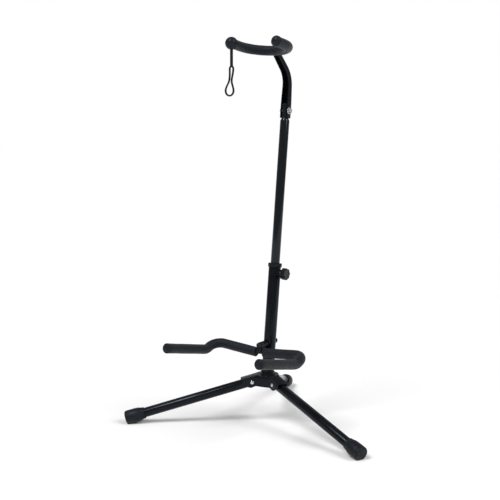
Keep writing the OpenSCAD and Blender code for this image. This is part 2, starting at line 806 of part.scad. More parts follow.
module neck_bolt() {
    color([0.72, 0.72, 0.74]) on_pole(neck_bolt_at) along_x() {
        cylinder(d = neck_bolt_d, h = neck_w + 2 * neck_nut[3], center = true);
        mirror([0, 0, 1]) translate([0, 0, neck_w / 2]) domed_head(neck_bolt_head);
    }
}

module neck_flange_nut() {
    color([0.75, 0.75, 0.77]) on_pole(neck_bolt_at) translate([neck_w / 2, 0, 0]) along_x()
        difference() {
            union() {
                cylinder(d = neck_nut[0], h = neck_nut[1]);
                cylinder(d = neck_nut[2], h = neck_nut[1] + neck_nut[3], $fn = 6);
            }
            translate([0, 0, -1]) cylinder(d = neck_bolt_d, h = 2 + neck_nut[1] + neck_nut[3]);
        }
}

module neck_rivets() {
    color([0.05, 0.05, 0.055])
        for (at = neck_rivets_at)
            on_pole(at) along_x() {
                cylinder(d = neck_rivet_d, h = neck_w, center = true);
                for (s = [0, 1])
                    mirror([0, 0, s]) translate([0, 0, neck_w / 2]) domed_head(neck_rivet_head);
            }
}

// ---- yoke ----

module yoke_rod() {
    color([0.06, 0.06, 0.065]) in_frame() bent_rod(yoke_path(cap_slip), yoke_bends, rod_d);
}

module yoke_foam() {
    color([0.12, 0.12, 0.13]) difference() {
        in_frame() bent_rod(yoke_path(foam_slip), yoke_bends, foam_d);
        in_frame() bent_rod(yoke_path(0), yoke_bends, rod_d);
        in_frame() translate(yoke_back) rotate([neck_bend - lean, 0, 0])
            translate([-neck_w_top / 2 - 1, -neck_depth_top / 2 - 1, -2 * foam_d])
                cube([neck_w_top + 2, neck_depth_top + 2, 2 * foam_d]);
    }
}

module yoke_cap_left() {
    color([0.07, 0.07, 0.075]) difference() {
        in_frame() translate(ball) sphere(d = ball_d);
        in_frame() bent_rod(yoke_path(foam_slip), yoke_bends, foam_d);
        yoke_rod();
        in_frame() translate(ball - [ball_d, strap_t / 2 + clear, ball_d])
            cube([2 * ball_d, strap_t + 2 * clear, ball_d - strap_hinge + strap_head_d / 2 + clear]);
    }
}

module yoke_cap_right() {
    dome = tip_cap_d / 2;
    color([0.07, 0.07, 0.075]) difference() {
        in_frame() multmatrix(
            frame_at(yoke_path(foam_slip)[3], X, cross(yoke_ahead, X), yoke_ahead)) {
            cylinder(r = dome, h = foam_slip);
            translate([0, 0, foam_slip]) intersection() {
                translate([0, 0, -dome * dome_share.x]) sphere(r = dome * dome_share.y);
                cylinder(r = dome, h = dome);
            }
        }
        yoke_rod();
    }
}

// ---- strap ----

// from 0 to 1 with a level start and end
function eased(t) = (1 - cos(180 * min(max(t, 0), 1))) / 2;

// sideways place of the keyhole's middle at one depth
function loop_middle(depth) = -strap_lean * eased((depth - shoulder_at) / (eye_at - shoulder_at));

// depth and half width down one side of the keyhole, inset from its outer edge
function loop_side(inset) =
    let (
        r1 = shoulder_w / 2 - inset,
        r2 = waist_w / 2 - inset,
        r3 = eye_w / 2 - inset,
        upper = waist_at - shoulder_at,
        lower = eye_at - waist_at
    )
    concat(
        [for (i = [0:strap_steps - 1]) let (a = 90 * i / strap_steps)
            [shoulder_at - r1 * cos(a), r1 * sin(a)]],
        [for (i = [0:strap_steps - 1]) let (t = i / strap_steps)
            [shoulder_at + upper * t, r1 + (r2 - r1) * eased(t)]],
        [for (i = [0:strap_steps - 1]) let (t = i / strap_steps)
            [waist_at + lower * t, r2 + (r3 - r2) * eased(t)]],
        [for (i = [0:2 * strap_steps]) let (a = 45 * i / strap_steps)
            [eye_at + r3 * sin(a), r3 * cos(a)]]);

// the keyhole's whole outline, counter-clockwise
function loop_outline(inset) =
    let (side = loop_side(inset), n = len(side))
    concat(
        [for (q = side) [loop_middle(q.x) - q.y, -q.x]],
        [for (i = [n - 2:-1:1]) [loop_middle(side[i].x) + side[i].y, -side[i].x]]);

module strap_outline() {
    difference() {
        union() {
            circle(d = strap_head_d);
            translate([-strap_w / 2, -shoulder_at]) square([strap_w, shoulder_at]);
            polygon(loop_outline(0));
        }
        polygon(loop_outline(strap_band));
    }
}

module neck_strap() {
    color([0.06, 0.06, 0.065]) in_frame() translate(ball - Z * strap_hinge) along_y()
        linear_extrude(strap_t, center = true) strap_outline();
}

hub_sleeve();
hub_star();
hub_plate(headings[0], headings[1]);  // hub_plate_front
hub_plate(headings[1], headings[2]);  // hub_plate_right
hub_plate(headings[2], headings[0] + 360);  // hub_plate_left
leg_tube(headings[0]);  // leg_tube_left
leg_tube(headings[1]);  // leg_tube_right
leg_tube(headings[2]);  // leg_tube_rear
foot(headings[0]);  // foot_left
foot(headings[1]);  // foot_right
foot(headings[2]);  // foot_rear
leg_rivet(headings[0]);  // leg_rivet_left
leg_rivet(headings[1]);  // leg_rivet_right
leg_rivet(headings[2]);  // leg_rivet_rear
outer_tube();
tube_collar();
clamp_boss();
clamp_washer();
clamp_stud();
clamp_knob();
cradle_boss();
cradle_back_plate();
cradle_front_plate();
cradle_stop();
cradle_bolt();
cradle_washer();
cradle_cap_nut();
cradle_ear(-1);  // cradle_ear_left
cradle_rod(-1);  // cradle_rod_left
cradle_foam(-1);  // cradle_foam_left
cradle_cap(-1);  // cradle_cap_left
cradle_ear(1);  // cradle_ear_right
cradle_rod(1);  // cradle_rod_right
cradle_foam(1);  // cradle_foam_right
cradle_cap(1);  // cradle_cap_right
mast_guide();
mast_tube();
neck_channel();
neck_bolt();
neck_flange_nut();  // neck_nut
neck_rivets();
yoke_rod();
yoke_foam();
yoke_cap_left();
yoke_cap_right();
neck_strap();
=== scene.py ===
"""Folding guitar stand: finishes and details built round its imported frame."""

import json
import math

import bmesh
import bpy
from mathutils import Matrix, Vector, noise

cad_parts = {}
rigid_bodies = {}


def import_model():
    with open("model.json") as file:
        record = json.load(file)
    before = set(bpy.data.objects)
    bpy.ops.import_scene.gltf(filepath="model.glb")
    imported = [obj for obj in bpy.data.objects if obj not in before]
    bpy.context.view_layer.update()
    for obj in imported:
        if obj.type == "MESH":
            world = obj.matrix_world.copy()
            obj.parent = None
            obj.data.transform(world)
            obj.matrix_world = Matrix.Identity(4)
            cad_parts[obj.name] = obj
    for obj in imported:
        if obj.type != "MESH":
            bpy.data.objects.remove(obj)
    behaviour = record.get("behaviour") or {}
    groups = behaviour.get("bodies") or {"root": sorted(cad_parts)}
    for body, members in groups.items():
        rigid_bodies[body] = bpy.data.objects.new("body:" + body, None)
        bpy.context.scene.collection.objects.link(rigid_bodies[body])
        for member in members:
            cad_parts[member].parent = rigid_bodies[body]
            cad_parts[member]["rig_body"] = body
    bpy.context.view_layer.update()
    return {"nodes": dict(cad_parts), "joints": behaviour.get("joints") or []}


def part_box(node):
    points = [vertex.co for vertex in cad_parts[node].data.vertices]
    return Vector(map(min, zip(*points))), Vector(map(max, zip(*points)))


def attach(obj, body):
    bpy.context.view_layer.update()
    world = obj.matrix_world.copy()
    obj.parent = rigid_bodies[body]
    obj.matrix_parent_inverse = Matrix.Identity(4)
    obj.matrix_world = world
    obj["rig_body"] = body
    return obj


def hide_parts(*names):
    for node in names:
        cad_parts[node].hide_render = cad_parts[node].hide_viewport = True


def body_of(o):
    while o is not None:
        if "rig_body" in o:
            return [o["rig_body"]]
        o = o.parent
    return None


bl_info = {
    "name": "Folding guitar stand",
    "version": (1, 0, 0),
    "blender": (4, 5, 0),
    "location": "View3D > Sidebar > Guitar stand",
    "description": "Builds the finishes, foam, rubber and fittings of a folding guitar stand",
    "category": "Object",
}

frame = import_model()

MM = 0.001
X = Vector((1, 0, 0))
Y = Vector((0, 1, 0))
Z = Vector((0, 0, 1))

# places that the frame's own joints give
joint = {j["name"]: j for j in frame["joints"]}
BOLT = Vector(joint["cradle_left_fold"]["pos_m"])
CLAMP = Vector(joint["clamp_turn"]["pos_m"])
POLE = Vector(joint["mast_height"]["axis"]).normalized()
STRAP_HINGE = Vector(joint["strap_swing"]["pos_m"])
LEGS = ("left", "right", "rear")
SIDES = ((-1, "left"), (1, "right"))

# sizes that the pieces below share with the steel frame
LEG_DIP = 16.3                # slope of the legs, in degrees
LEG_LEN = 259 * MM            # from a leg's rivet to the middle of its foot
LEG_RIVET_HALF = 12.0 * MM    # from a leg's middle to the outside of its cheek plate
CRADLE_AT = 82 * MM           # height of the cradle's bolt along the pole
POLE_BASE = BOLT - POLE * CRADLE_AT
SLEEVE_RADIUS = 14.7 * MM     # outside of the sleeve that the pole stands in
TUBE_RADIUS = 12.7 * MM       # outside of the outer tube
CLAMP_BOSS_RADIUS = 7.0 * MM
CRADLE_BOSS_RADIUS = 6.0 * MM
NECK_RIVET_HALF = 8.6 * MM    # from the mast's middle to the outside of the neck channel
NECK_RIVET_STEP = 11 * MM     # from the neck's bolt to each of its rivets
YOKE_SLOPE = 9                # rise of the yoke's arms, in degrees
YOKE_ARM = 78 * MM            # from the back of the yoke to the ball's centre
YOKE_WIDTH = 106 * MM         # between the middles of the yoke's arms
YOKE_BEND = 50 * MM
STRAP_BELOW = 9.5 * MM        # depth of the strap's head below the ball's centre

# corners of the right cradle arm, in millimetres from the cradle's bolt
ARM_CORNERS = ((6.0, -33.0, -16.5), (112.0, -40.0, -5.5),
               (112.0, -71.0, -17.5), (112.0, -200.0, 9.0))
ARM_FOAM_START = 9.5          # sideways place where an arm's foam starts
ARM_FOAM_BENDS = (24 * MM, 26 * MM)

# the camera: bearing and tilt in degrees, place in metres from the pole's foot and the floor
VIEW_BEARING = 35.66
VIEW_TILT = 7.57
VIEW_LENS = 71.7
VIEW_PLACE = (1.1502, -1.6642, 0.6317)


# ---- sizes and colours a user may change ----

class StandSizes(bpy.types.PropertyGroup):
    foam_radius: bpy.props.FloatProperty(
        name="Foam radius", description="Radius of the foam sleeves",
        default=10.0 * MM, min=8.0 * MM, max=12.0 * MM, unit="LENGTH")
    foam_ripple: bpy.props.FloatProperty(
        name="Foam ripple", description="Depth of the creases on the inside of a foam bend",
        default=0.45 * MM, min=0.0, max=1.5 * MM, unit="LENGTH")
    foam_wander: bpy.props.FloatProperty(
        name="Foam wander", description="How far the foam's surface strays from a true tube",
        default=0.16 * MM, min=0.0, max=0.6 * MM, unit="LENGTH")
    edge_soft: bpy.props.FloatProperty(
        name="Edge rounding", description="Rounding of the steel plates' and tubes' edges",
        default=0.35 * MM, min=0.1 * MM, max=1.0 * MM, unit="LENGTH")
    strap_soft: bpy.props.FloatProperty(
        name="Strap rounding", description="Rounding of the rubber strap's edges",
        default=0.9 * MM, min=0.2 * MM, max=1.4 * MM, unit="LENGTH")
    rivet_dome: bpy.props.FloatProperty(
        name="Rivet dome", description="Height of a leg rivet's domed head",
        default=1.6 * MM, min=0.6 * MM, max=3.0 * MM, unit="LENGTH")
    knob_radius: bpy.props.FloatProperty(
        name="Knob radius", description="Radius over the clamp knob's lobes",
        default=12.3 * MM, min=10.0 * MM, max=15.0 * MM, unit="LENGTH")
    knob_lobes: bpy.props.IntProperty(
        name="Knob lobes", description="Number of lobes round the clamp knob",
        default=8, min=5, max=10)
    bead_size: bpy.props.FloatProperty(
        name="Weld bead", description="Width of the weld beads on the hub and the bosses",
        default=2.2 * MM, min=1.0 * MM, max=4.0 * MM, unit="LENGTH")


class StandColours(bpy.types.PropertyGroup):
    coat: bpy.props.FloatVectorProperty(
        name="Powder coat", description="Colour of the coated steel",
        subtype="COLOR", size=3, default=(0.0026, 0.0029, 0.0040), min=0, max=1)
    enamel: bpy.props.FloatVectorProperty(
        name="Mast enamel", description="Colour of the glossy mast",
        subtype="COLOR", size=3, default=(0.0050, 0.0058, 0.0074), min=0, max=1)
    foam: bpy.props.FloatVectorProperty(
        name="Foam", description="Colour of the foam sleeves",
        subtype="COLOR", size=3, default=(0.0062, 0.0074, 0.0104), min=0, max=1)
    rubber: bpy.props.FloatVectorProperty(
        name="Rubber", description="Colour of the feet, caps and strap",
        subtype="COLOR", size=3, default=(0.0062, 0.0067, 0.0085), min=0, max=1)
    zinc: bpy.props.FloatVectorProperty(
        name="Zinc", description="Colour of the plated rivets, screws and washers",
        subtype="COLOR", size=3, default=(0.56, 0.57, 0.6), min=0, max=1)
    floor: bpy.props.FloatVectorProperty(
        name="Floor", description="Colour of the studio floor",
        subtype="COLOR", size=3, default=(0.97, 0.97, 0.97), min=0, max=1)


def sizes():
    return bpy.context.scene.stand_sizes


def colours():
    return bpy.context.scene.stand_colours


# ---- materials ----

class Finish:
    """A material's node tree, with short calls for the nodes that the finishes share."""

    def __init__(self, name, colour, rough, metal=0.0, specular=0.5, tint=(1, 1, 1)):
        self.mat = bpy.data.materials.new(name)
        self.mat.use_nodes = True
        self.nodes = self.mat.node_tree.nodes
        self.links = self.mat.node_tree.links
        self.shader = self.nodes["Principled BSDF"]
        self.set("Base Color", (*colour, 1))
        self.set("Roughness", rough)
        self.set("Metallic", metal)
        self.set("Specular IOR Level", specular)
        self.set("Specular Tint", (*tint, 1))
        self.place = self.node("ShaderNodeTexCoord").outputs["Object"]

    def node(self, kind, **values):
        n = self.nodes.new(kind)
        for key, value in values.items():
            setattr(n, key, value)
        return n

    def set(self, socket, value):
        self.shader.inputs[socket].default_value = value

    def join(self, source, target):
        self.links.new(source, target)

    def mapped(self, scale, turn=(0, 0, 0)):
        """Object coordinates, turned and stretched."""
        n = self.node("ShaderNodeMapping")
        n.inputs["Scale"].default_value = scale
        n.inputs["Rotation"].default_value = turn
        self.join(self.place, n.inputs["Vector"])
        return n.outputs["Vector"]

    def grain(self, scale, detail=3.0, rough=0.55, at=None):
        n = self.node("ShaderNodeTexNoise")
        n.inputs["Scale"].default_value = scale
        n.inputs["Detail"].default_value = detail
        n.inputs["Roughness"].default_value = rough
        self.join(at or self.place, n.inputs["Vector"])
        return n.outputs["Fac"]

    def cells(self, scale):
        n = self.node("ShaderNodeTexVoronoi", feature="F1")
        n.inputs["Scale"].default_value = scale
        self.join(self.place, n.inputs["Vector"])
        return n.outputs["Distance"]

    def ramp(self, source, low, high, out_low=0.0, out_high=1.0):
        n = self.node("ShaderNodeMapRange")
        for socket, value in zip(("From Min", "From Max", "To Min", "To Max"),
                                 (low, high, out_low, out_high)):
            n.inputs[socket].default_value = value
        self.join(source, n.inputs["Value"])
        return n.outputs["Result"]

    def times(self, a, b):
        n = self.node("ShaderNodeMath", operation="MULTIPLY")
        self.join(a, n.inputs[0])
        self.join(b, n.inputs[1])
        return n.outputs[0]

    def mix(self, share, a, b):
        """Colour a where share is 0 and b where it is 1; a and b are colours or sockets."""
        n = self.node("ShaderNodeMix", data_type="RGBA")
        self.join(share, n.inputs["Factor"])
        for value, socket in ((a, n.inputs[6]), (b, n.inputs[7])):
            if isinstance(value, tuple):
                socket.default_value = (*value[:3], 1)
            else:
                self.join(value, socket)
        return n.outputs[2]

    def colour(self, source):
        self.join(source, self.shader.inputs["Base Color"])

    def roughness(self, source):
        self.join(source, self.shader.inputs["Roughness"])

    def bumps(self, *layers):
        """Stacks height sources, each with its depth in metres."""
        last = None
        for height, depth in layers:
            n = self.node("ShaderNodeBump")
            n.inputs["Distance"].default_value = depth
            n.inputs["Strength"].default_value = 1.05
            self.join(height, n.inputs["Height"])
            if last:
                self.join(last, n.inputs["Normal"])
            last = n.outputs["Normal"]
        self.join(last, self.shader.inputs["Normal"])

    def worn(self):
        """Share of wear, which the rounded edges carry, broken up by two grains."""
        edge = self.node("ShaderNodeAttribute", attribute_name="wear").outputs["Fac"]
        coarse = self.ramp(self.grain(140, 4), 0.46, 0.62)
        fine = self.ramp(self.grain(900, 2), 0.35, 0.6)
        return self.times(edge, self.times(coarse, fine))


def shade(colour, k):
    return tuple(min(1.0, c * k) for c in colour[:3])


finishes = {}
COOL = (0.74, 0.88, 1.0)    # the faint blue of light that the dark finishes reflect


def make_finishes():
    c = colours()

    # satin powder coat: orange-peel skin, faint cloudiness, bare steel showing through at edges
    f = Finish("satin powder coat", c.coat, 0.2, specular=0.18, tint=COOL)
    wear = f.worn()
    cloud = f.ramp(f.grain(24, 5), 0.35, 0.7)
    base = f.mix(cloud, tuple(c.coat), shade(c.coat, 2.1))
    f.colour(f.mix(wear, base, (0.10, 0.10, 0.105)))
    dust = f.ramp(f.grain(60, 6, 0.65), 0.45, 0.75, 0.15, 0.27)
    f.roughness(dust)
    f.bumps((f.grain(420, 2), 0.00009), (f.grain(1900, 2), 0.00002))
    finishes["black_coat"] = f.mat

    # gloss enamel of the sliding mast, with fine scuffs that run along it
    f = Finish("gloss mast enamel", c.enamel, 0.13, specular=0.24, tint=COOL)
    lean = math.atan2(POLE.y, POLE.z)
    along = f.mapped((900, 900, 9), (lean, 0, 0))
    scuff = f.ramp(f.grain(1.0, 3, at=along), 0.6, 0.78)
    patch = f.ramp(f.grain(18, 4), 0.42, 0.66)
    marks = f.times(scuff, patch)
    f.colour(f.mix(marks, tuple(c.enamel), (0.02, 0.02, 0.021)))
    f.roughness(f.ramp(marks, 0, 1, 0.12, 0.34))
    f.bumps((f.grain(260, 2), 0.00003), (scuff, 0.000004))
    f.set("Coat Weight", 0.15)
    f.set("Coat Roughness", 0.06)
    finishes["gloss_coat"] = f.mat

    # bright zinc plate with a fine spangle and faint turning marks
    f = Finish("bright zinc plate", c.zinc, 0.28, metal=1.0)
    spangle = f.ramp(f.cells(900), 0.1, 0.7)
    dull = f.ramp(f.grain(160, 5), 0.45, 0.7)
    f.colour(f.mix(dull, f.mix(spangle, tuple(c.zinc), shade(c.zinc, 1.2)), shade(c.zinc, 0.55)))
    f.roughness(f.ramp(dull, 0, 1, 0.2, 0.42))
    f.bumps((f.grain(1500, 2), 0.00002))
    finishes["zinc_plate"] = f.mat

    # closed-cell foam: small open pores in a matt skin, mottled in colour; the pores' hollows carry
    # painted shade
    f = Finish("closed-cell foam", c.foam, 0.46, specular=0.17, tint=COOL)
    pore_and_shade = f.ramp(f.cells(1100), 0.12, 0.55)
    mottle = f.ramp(f.grain(420, 4, 0.7), 0.36, 0.66)
    cloud = f.ramp(f.grain(36, 4), 0.35, 0.68)
    skin = f.mix(mottle, shade(c.foam, 0.72), shade(c.foam, 1.5))
    skin = f.mix(cloud, skin, shade(c.foam, 1.3))
    # painted shade: the pores' hollows are coloured darker than the skin
    f.colour(f.mix(pore_and_shade, shade(c.foam, 0.45), skin))
    f.roughness(f.ramp(mottle, 0, 1, 0.38, 0.54))
    f.bumps((f.grain(55, 3), 0.0004), (mottle, 0.00016), (pore_and_shade, 0.00014))
    f.set("Sheen Weight", 0.07)
    f.set("Sheen Roughness", 0.5)
    finishes["foam"] = f.mat

    # satin moulded rubber of the feet, dusty where it meets the floor
    f = Finish("moulded rubber feet", c.rubber, 0.5, specular=0.2, tint=COOL)
    low = f.node("ShaderNodeSeparateXYZ")
    f.join(f.place, low.inputs[0])
    near_floor = f.ramp(low.outputs["Z"], 0.012, 0.0, 0.0, 0.8)
    dust = f.times(near_floor, f.ramp(f.grain(220, 5, 0.65), 0.4, 0.66))
    tone = f.mix(f.ramp(f.grain(70, 4), 0.35, 0.7), shade(c.rubber, 0.8), shade(c.rubber, 1.7))
    f.colour(f.mix(dust, tone, (0.055, 0.052, 0.048)))
    f.roughness(f.ramp(f.grain(130, 4), 0.35, 0.7, 0.4, 0.62))
    f.bumps((f.grain(650, 3), 0.00008), (f.grain(90, 2), 0.0001))
    finishes["foot_rubber"] = f.mat

    # smoother moulded rubber of the caps and the strap
    f = Finish("moulded rubber caps", c.rubber, 0.42, specular=0.22, tint=COOL)
    tone = f.mix(f.ramp(f.grain(110, 4), 0.35, 0.7), shade(c.rubber, 0.9), shade(c.rubber, 1.8))
    f.colour(f.mix(f.worn(), tone, shade(c.rubber, 4)))
    f.roughness(f.ramp(f.grain(160, 5), 0.35, 0.7, 0.34, 0.54))
    f.bumps((f.grain(820, 3), 0.00005))
    finishes["cap_rubber"] = f.mat

    # polished knob moulding with faint handling haze
    f = Finish("polished knob moulding", (0.003, 0.0032, 0.004), 0.16, specular=0.3, tint=COOL)
    haze = f.ramp(f.grain(240, 5, 0.6), 0.45, 0.72)
    f.colour(f.mix(haze, (0.0028, 0.003, 0.0038), (0.007, 0.0073, 0.0085)))
    f.roughness(f.ramp(haze, 0, 1, 0.13, 0.33))
    f.bumps((f.grain(300, 2), 0.00004))
    finishes["knob_plastic"] = f.mat

    # fine matt moulding of the collar and the guide bush
    f = Finish("matt collar moulding", (0.006, 0.0064, 0.0078), 0.45, specular=0.2, tint=COOL)
    tone = f.mix(f.ramp(f.grain(150, 4), 0.35, 0.7), (0.0045, 0.0048, 0.006), (0.010, 0.0105, 0.0125))
    f.colour(f.mix(f.worn(), tone, (0.05, 0.05, 0.05)))
    f.roughness(f.ramp(f.grain(190, 4), 0.35, 0.7, 0.4, 0.6))
    f.bumps((f.grain(1300, 2), 0.00004))
    finishes["collar_plastic"] = f.mat


# ---- building helpers ----

def add_object(name, mesh, slot):
    o = bpy.data.objects.new(name, mesh)
    bpy.context.scene.collection.objects.link(o)
    o.data.materials.clear()
    o.data.materials.append(finishes[slot])
    return o


def settle(o, body, slot, *nodes):
    """The piece rides on a body and hides the CAD nodes that it stands in for; slot is not used."""
    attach(o, body)
    if nodes:
        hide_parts(*nodes)
    return o


def to_mesh(name, bm, sharp=38.0):
    mesh = bpy.data.meshes.new(name)
    bm.to_mesh(mesh)
    bm.free()
    mesh.shade_smooth()
    mesh.set_sharp_from_angle(angle=math.radians(sharp))
    return mesh


def softened(node, name, soft, segments=2, slot="black_coat", sharp=38.0):
    """A copy of a frame piece with merged faces, and edges rounded by soft and marked as worn."""
    bm = bmesh.new()
    bm.from_mesh(frame["nodes"][node].data)
    bmesh.ops.remove_doubles(bm, verts=bm.verts, dist=2e-6)
    if soft:
        bmesh.ops.dissolve_limit(bm, angle_limit=math.radians(0.6),
                                 verts=bm.verts, edges=bm.edges)
    bmesh.ops.recalc_face_normals(bm, faces=bm.faces)
    crisp = [e for e in bm.edges
             if len(e.link_faces) == 2 and e.calc_face_angle(0) > math.radians(32)]
    wear = bm.loops.layers.float.new("wear")
    if soft:
        made = bmesh.ops.bevel(bm, geom=crisp, offset=soft, segments=segments, profile=0.5,
                               affect="EDGES", clamp_overlap=True, loop_slide=True)
        for face in made["faces"]:
            for loop in face.loops:
                loop[wear] = 1.0
    bmesh.ops.triangulate(bm, faces=[f for f in bm.faces if len(f.verts) > 4])
    o = add_object(name, to_mesh(name, bm, sharp), slot)
    return settle(o, body_of(frame["nodes"][node])[0], slot, node)


def rounded_path(points, radii, step):
    """Points along straight runs joined by bends, with the share of bend at each one."""
    out = []
    start = points[0]
    for i, r in enumerate(radii):
        corner = points[i + 1]
        a = (points[i] - corner).normalized()
        b = (points[i + 2] - corner).normalized()
        half = a.angle(b) / 2
        cut = r / math.tan(half)
        enter, leave = corner + a * cut, corner + b * cut
        centre = corner + (a + b).normalized() * (r / math.sin(half))
        straight(out, start, enter, step)
        turn = math.pi - 2 * half
        axis = (-a).cross(b).normalized()
        count = max(6, round(r * turn / step))
        for k in range(1, count):
            q = Matrix.Rotation(turn * k / count, 3, axis)
            share = min(1.0, 3 * min(k, count - k) / count)
            out.append((centre + q @ (enter - centre), (centre - corner).normalized(), share))
        start = leave
    straight(out, start, points[-1], step)
    out.append((points[-1], Z, 0.0))
    return out


def straight(out, a, b, step):
    count = max(1, round((b - a).length / step))
    for k in range(count):
        out.append((a.lerp(b, k / count), Z, 0.0))


def swept(name, path, radius_at, sides):
    """A tube along a path; radius_at(travel, angle, place, inward) gives its radius."""
    bm = bmesh.new()
    uv = bm.loops.layers.uv.new("run")
    count = len(path)
    tangents = []
    for i in range(count):
        a = path[max(0, i - 1)][0]
        b = path[min(count - 1, i + 1)][0]
        tangents.append((b - a).normalized())
    side = tangents[0].cross(Z)
    side = (side if side.length > 0.1 else tangents[0].cross(X)).normalized()
    travel = 0.0
    rings = []
    travels = []
    for i in range(count):
        if i:
            travel += (path[i][0] - path[i - 1][0]).length
            side = (side - tangents[i] * side.dot(tangents[i])).normalized()
        up = tangents[i].cross(side)
        travels.append(travel)
        ring = []
        for j in range(sides):
            t = 2 * math.pi * j / sides
            out = side * math.cos(t) + up * math.sin(t)
            inward = max(0.0, out.dot(path[i][1])) * path[i][2]
            ring.append(bm.verts.new(path[i][0] + out * radius_at(travel, t, path[i][0], inward)))
        rings.append(ring)
    for i in range(count - 1):
        for j in range(sides):
            k = (j + 1) % sides
            face = bm.faces.new((rings[i][j], rings[i][k], rings[i + 1][k], rings[i + 1][j]))
            spots = ((j, i), (j + 1, i), (j + 1, i + 1), (j, i + 1))
            for loop, (u, v) in zip(face.loops, spots):
                loop[uv].uv = (u / sides * 0.0628, travels[v])
    bm.faces.new(rings[0][::-1])
    bm.faces.new(rings[-1])
    bmesh.ops.recalc_face_normals(bm, faces=bm.faces)
    return to_mesh(name, bm, 50)


def basis(origin, along):
    """Matrix that puts Z along a direction, at an origin."""
    w = along.normalized()
    u = (Z.cross(w) if abs(w.z) < 0.9 else X.cross(w)).normalized()
    v = w.cross(u)
    return Matrix((
        (u.x, v.x, w.x, origin.x), (u.y, v.y, w.y, origin.y),
        (u.z, v.z, w.z, origin.z), (0, 0, 0, 1)))


def lathed(name, profile, place, sides=96, floor=None):
    """A profile of (distance along, radius), turned about the Z of a matrix."""
    bm = bmesh.new()
    rings = []
    for z, r in profile:
        if r < 1e-6:
            rings.append([bm.verts.new((0, 0, z))])
        else:
            rings.append([bm.verts.new((r * math.cos(2 * math.pi * j / sides),
                                        r * math.sin(2 * math.pi * j / sides), z))
                          for j in range(sides)])
    for a, b in zip(rings, rings[1:]):
        for j in range(sides):
            k = (j + 1) % sides
            corners = [a[j % len(a)], a[k % len(a)], b[k % len(b)], b[j % len(b)]]
            unique = list(dict.fromkeys(corners))
            if len(unique) > 2:
                bm.faces.new(unique)
    bmesh.ops.recalc_face_normals(bm, faces=bm.faces)
    bm.transform(place)
    if floor is not None:
        for v in bm.verts:
            v.co.z = max(v.co.z, floor)
    return to_mesh(name, bm, 40)


def arc(cx, cy, r, a0, a1, steps=8):
    """Points of a rounded corner, in degrees, for a turned profile."""
    return [(cx + r * math.cos(math.radians(a0 + (a1 - a0) * i / steps)),
             cy + r * math.sin(math.radians(a0 + (a1 - a0) * i / steps)))
            for i in range(steps + 1)]


# ---- geometry nodes ----

def node_tree(name, inputs):
    tree = bpy.data.node_groups.new(name, "GeometryNodeTree")
    tree.interface.new_socket("Geometry", in_out="INPUT", socket_type="NodeSocketGeometry")
    for label, kind, value in inputs:
        s = tree.interface.new_socket(label, in_out="INPUT", socket_type=kind)
        if value is not None:
            s.default_value = value
    tree.interface.new_socket("Geometry", in_out="OUTPUT", socket_type="NodeSocketGeometry")
    return tree, tree.nodes.new("NodeGroupInput"), tree.nodes.new("NodeGroupOutput")


def run_tree(name, tree, mesh, values, slot):
    """Runs a tree on a mesh and keeps the result as a plain mesh."""
    guide = bpy.data.objects.new(name + "_guide", mesh)
    bpy.context.scene.collection.objects.link(guide)
    modifier = guide.modifiers.new("build", "NODES")
    modifier.node_group = tree
    for item in tree.interface.items_tree:
        if item.in_out == "INPUT" and item.name in values:
            modifier[item.identifier] = values[item.name]
    seen = guide.evaluated_get(bpy.context.evaluated_depsgraph_get())
    result = bpy.data.meshes.new_from_object(seen)
    guide.modifiers.remove(modifier)
    bpy.data.objects.remove(guide)
    if not result.polygons:
        raise RuntimeError(name + " came out empty")
    bm = bmesh.new()
    bm.from_mesh(result)
    bmesh.ops.remove_doubles(bm, verts=bm.verts, dist=1e-7)
    bmesh.ops.recalc_face_normals(bm, faces=bm.faces)
    return add_object(name, to_mesh(name, bm, 45), slot)


def finish_tree(tree, last, out, slot):
    real = tree.nodes.new("GeometryNodeRealizeInstances")
    paint = tree.nodes.new("GeometryNodeSetMaterial")
    paint.inputs["Material"].default_value = finishes[slot]
    tree.links.new(last, real.inputs["Geometry"])
    tree.links.new(real.outputs["Geometry"], paint.inputs["Geometry"])
    tree.links.new(paint.outputs["Geometry"], out.inputs["Geometry"])


def rivet_tree(slot):
    """A domed head, cut from a sphere, on every point, turned along the point's normal."""
    tree, into, out = node_tree("rivet heads " + slot, [
        ("Head Radius", "NodeSocketFloat", 4 * MM),
        ("Head Height", "NodeSocketFloat", 1.6 * MM)])
    n, link = tree.nodes, tree.links.new
    ball = n.new("GeometryNodeMeshUVSphere")
    ball.inputs["Segments"].default_value = 32
    ball.inputs["Rings"].default_value = 16
    ball.inputs["Radius"].default_value = 1.0
    squash = n.new("ShaderNodeCombineXYZ")
    link(into.outputs["Head Radius"], squash.inputs[0])
    link(into.outputs["Head Radius"], squash.inputs[1])
    link(into.outputs["Head Height"], squash.inputs[2])
    aim = n.new("FunctionNodeAlignRotationToVector")
    aim.axis = "Z"
    facing = n.new("GeometryNodeInputNamedAttribute")
    facing.data_type = "FLOAT_VECTOR"
    facing.inputs["Name"].default_value = "aim"
    link(facing.outputs["Attribute"], aim.inputs["Vector"])
    copies = n.new("GeometryNodeInstanceOnPoints")
    link(into.outputs["Geometry"], copies.inputs["Points"])
    link(ball.outputs["Mesh"], copies.inputs["Instance"])
    link(aim.outputs["Rotation"], copies.inputs["Rotation"])
    link(squash.outputs["Vector"], copies.inputs["Scale"])
    finish_tree(tree, copies.outputs["Instances"], out, slot)
    return tree


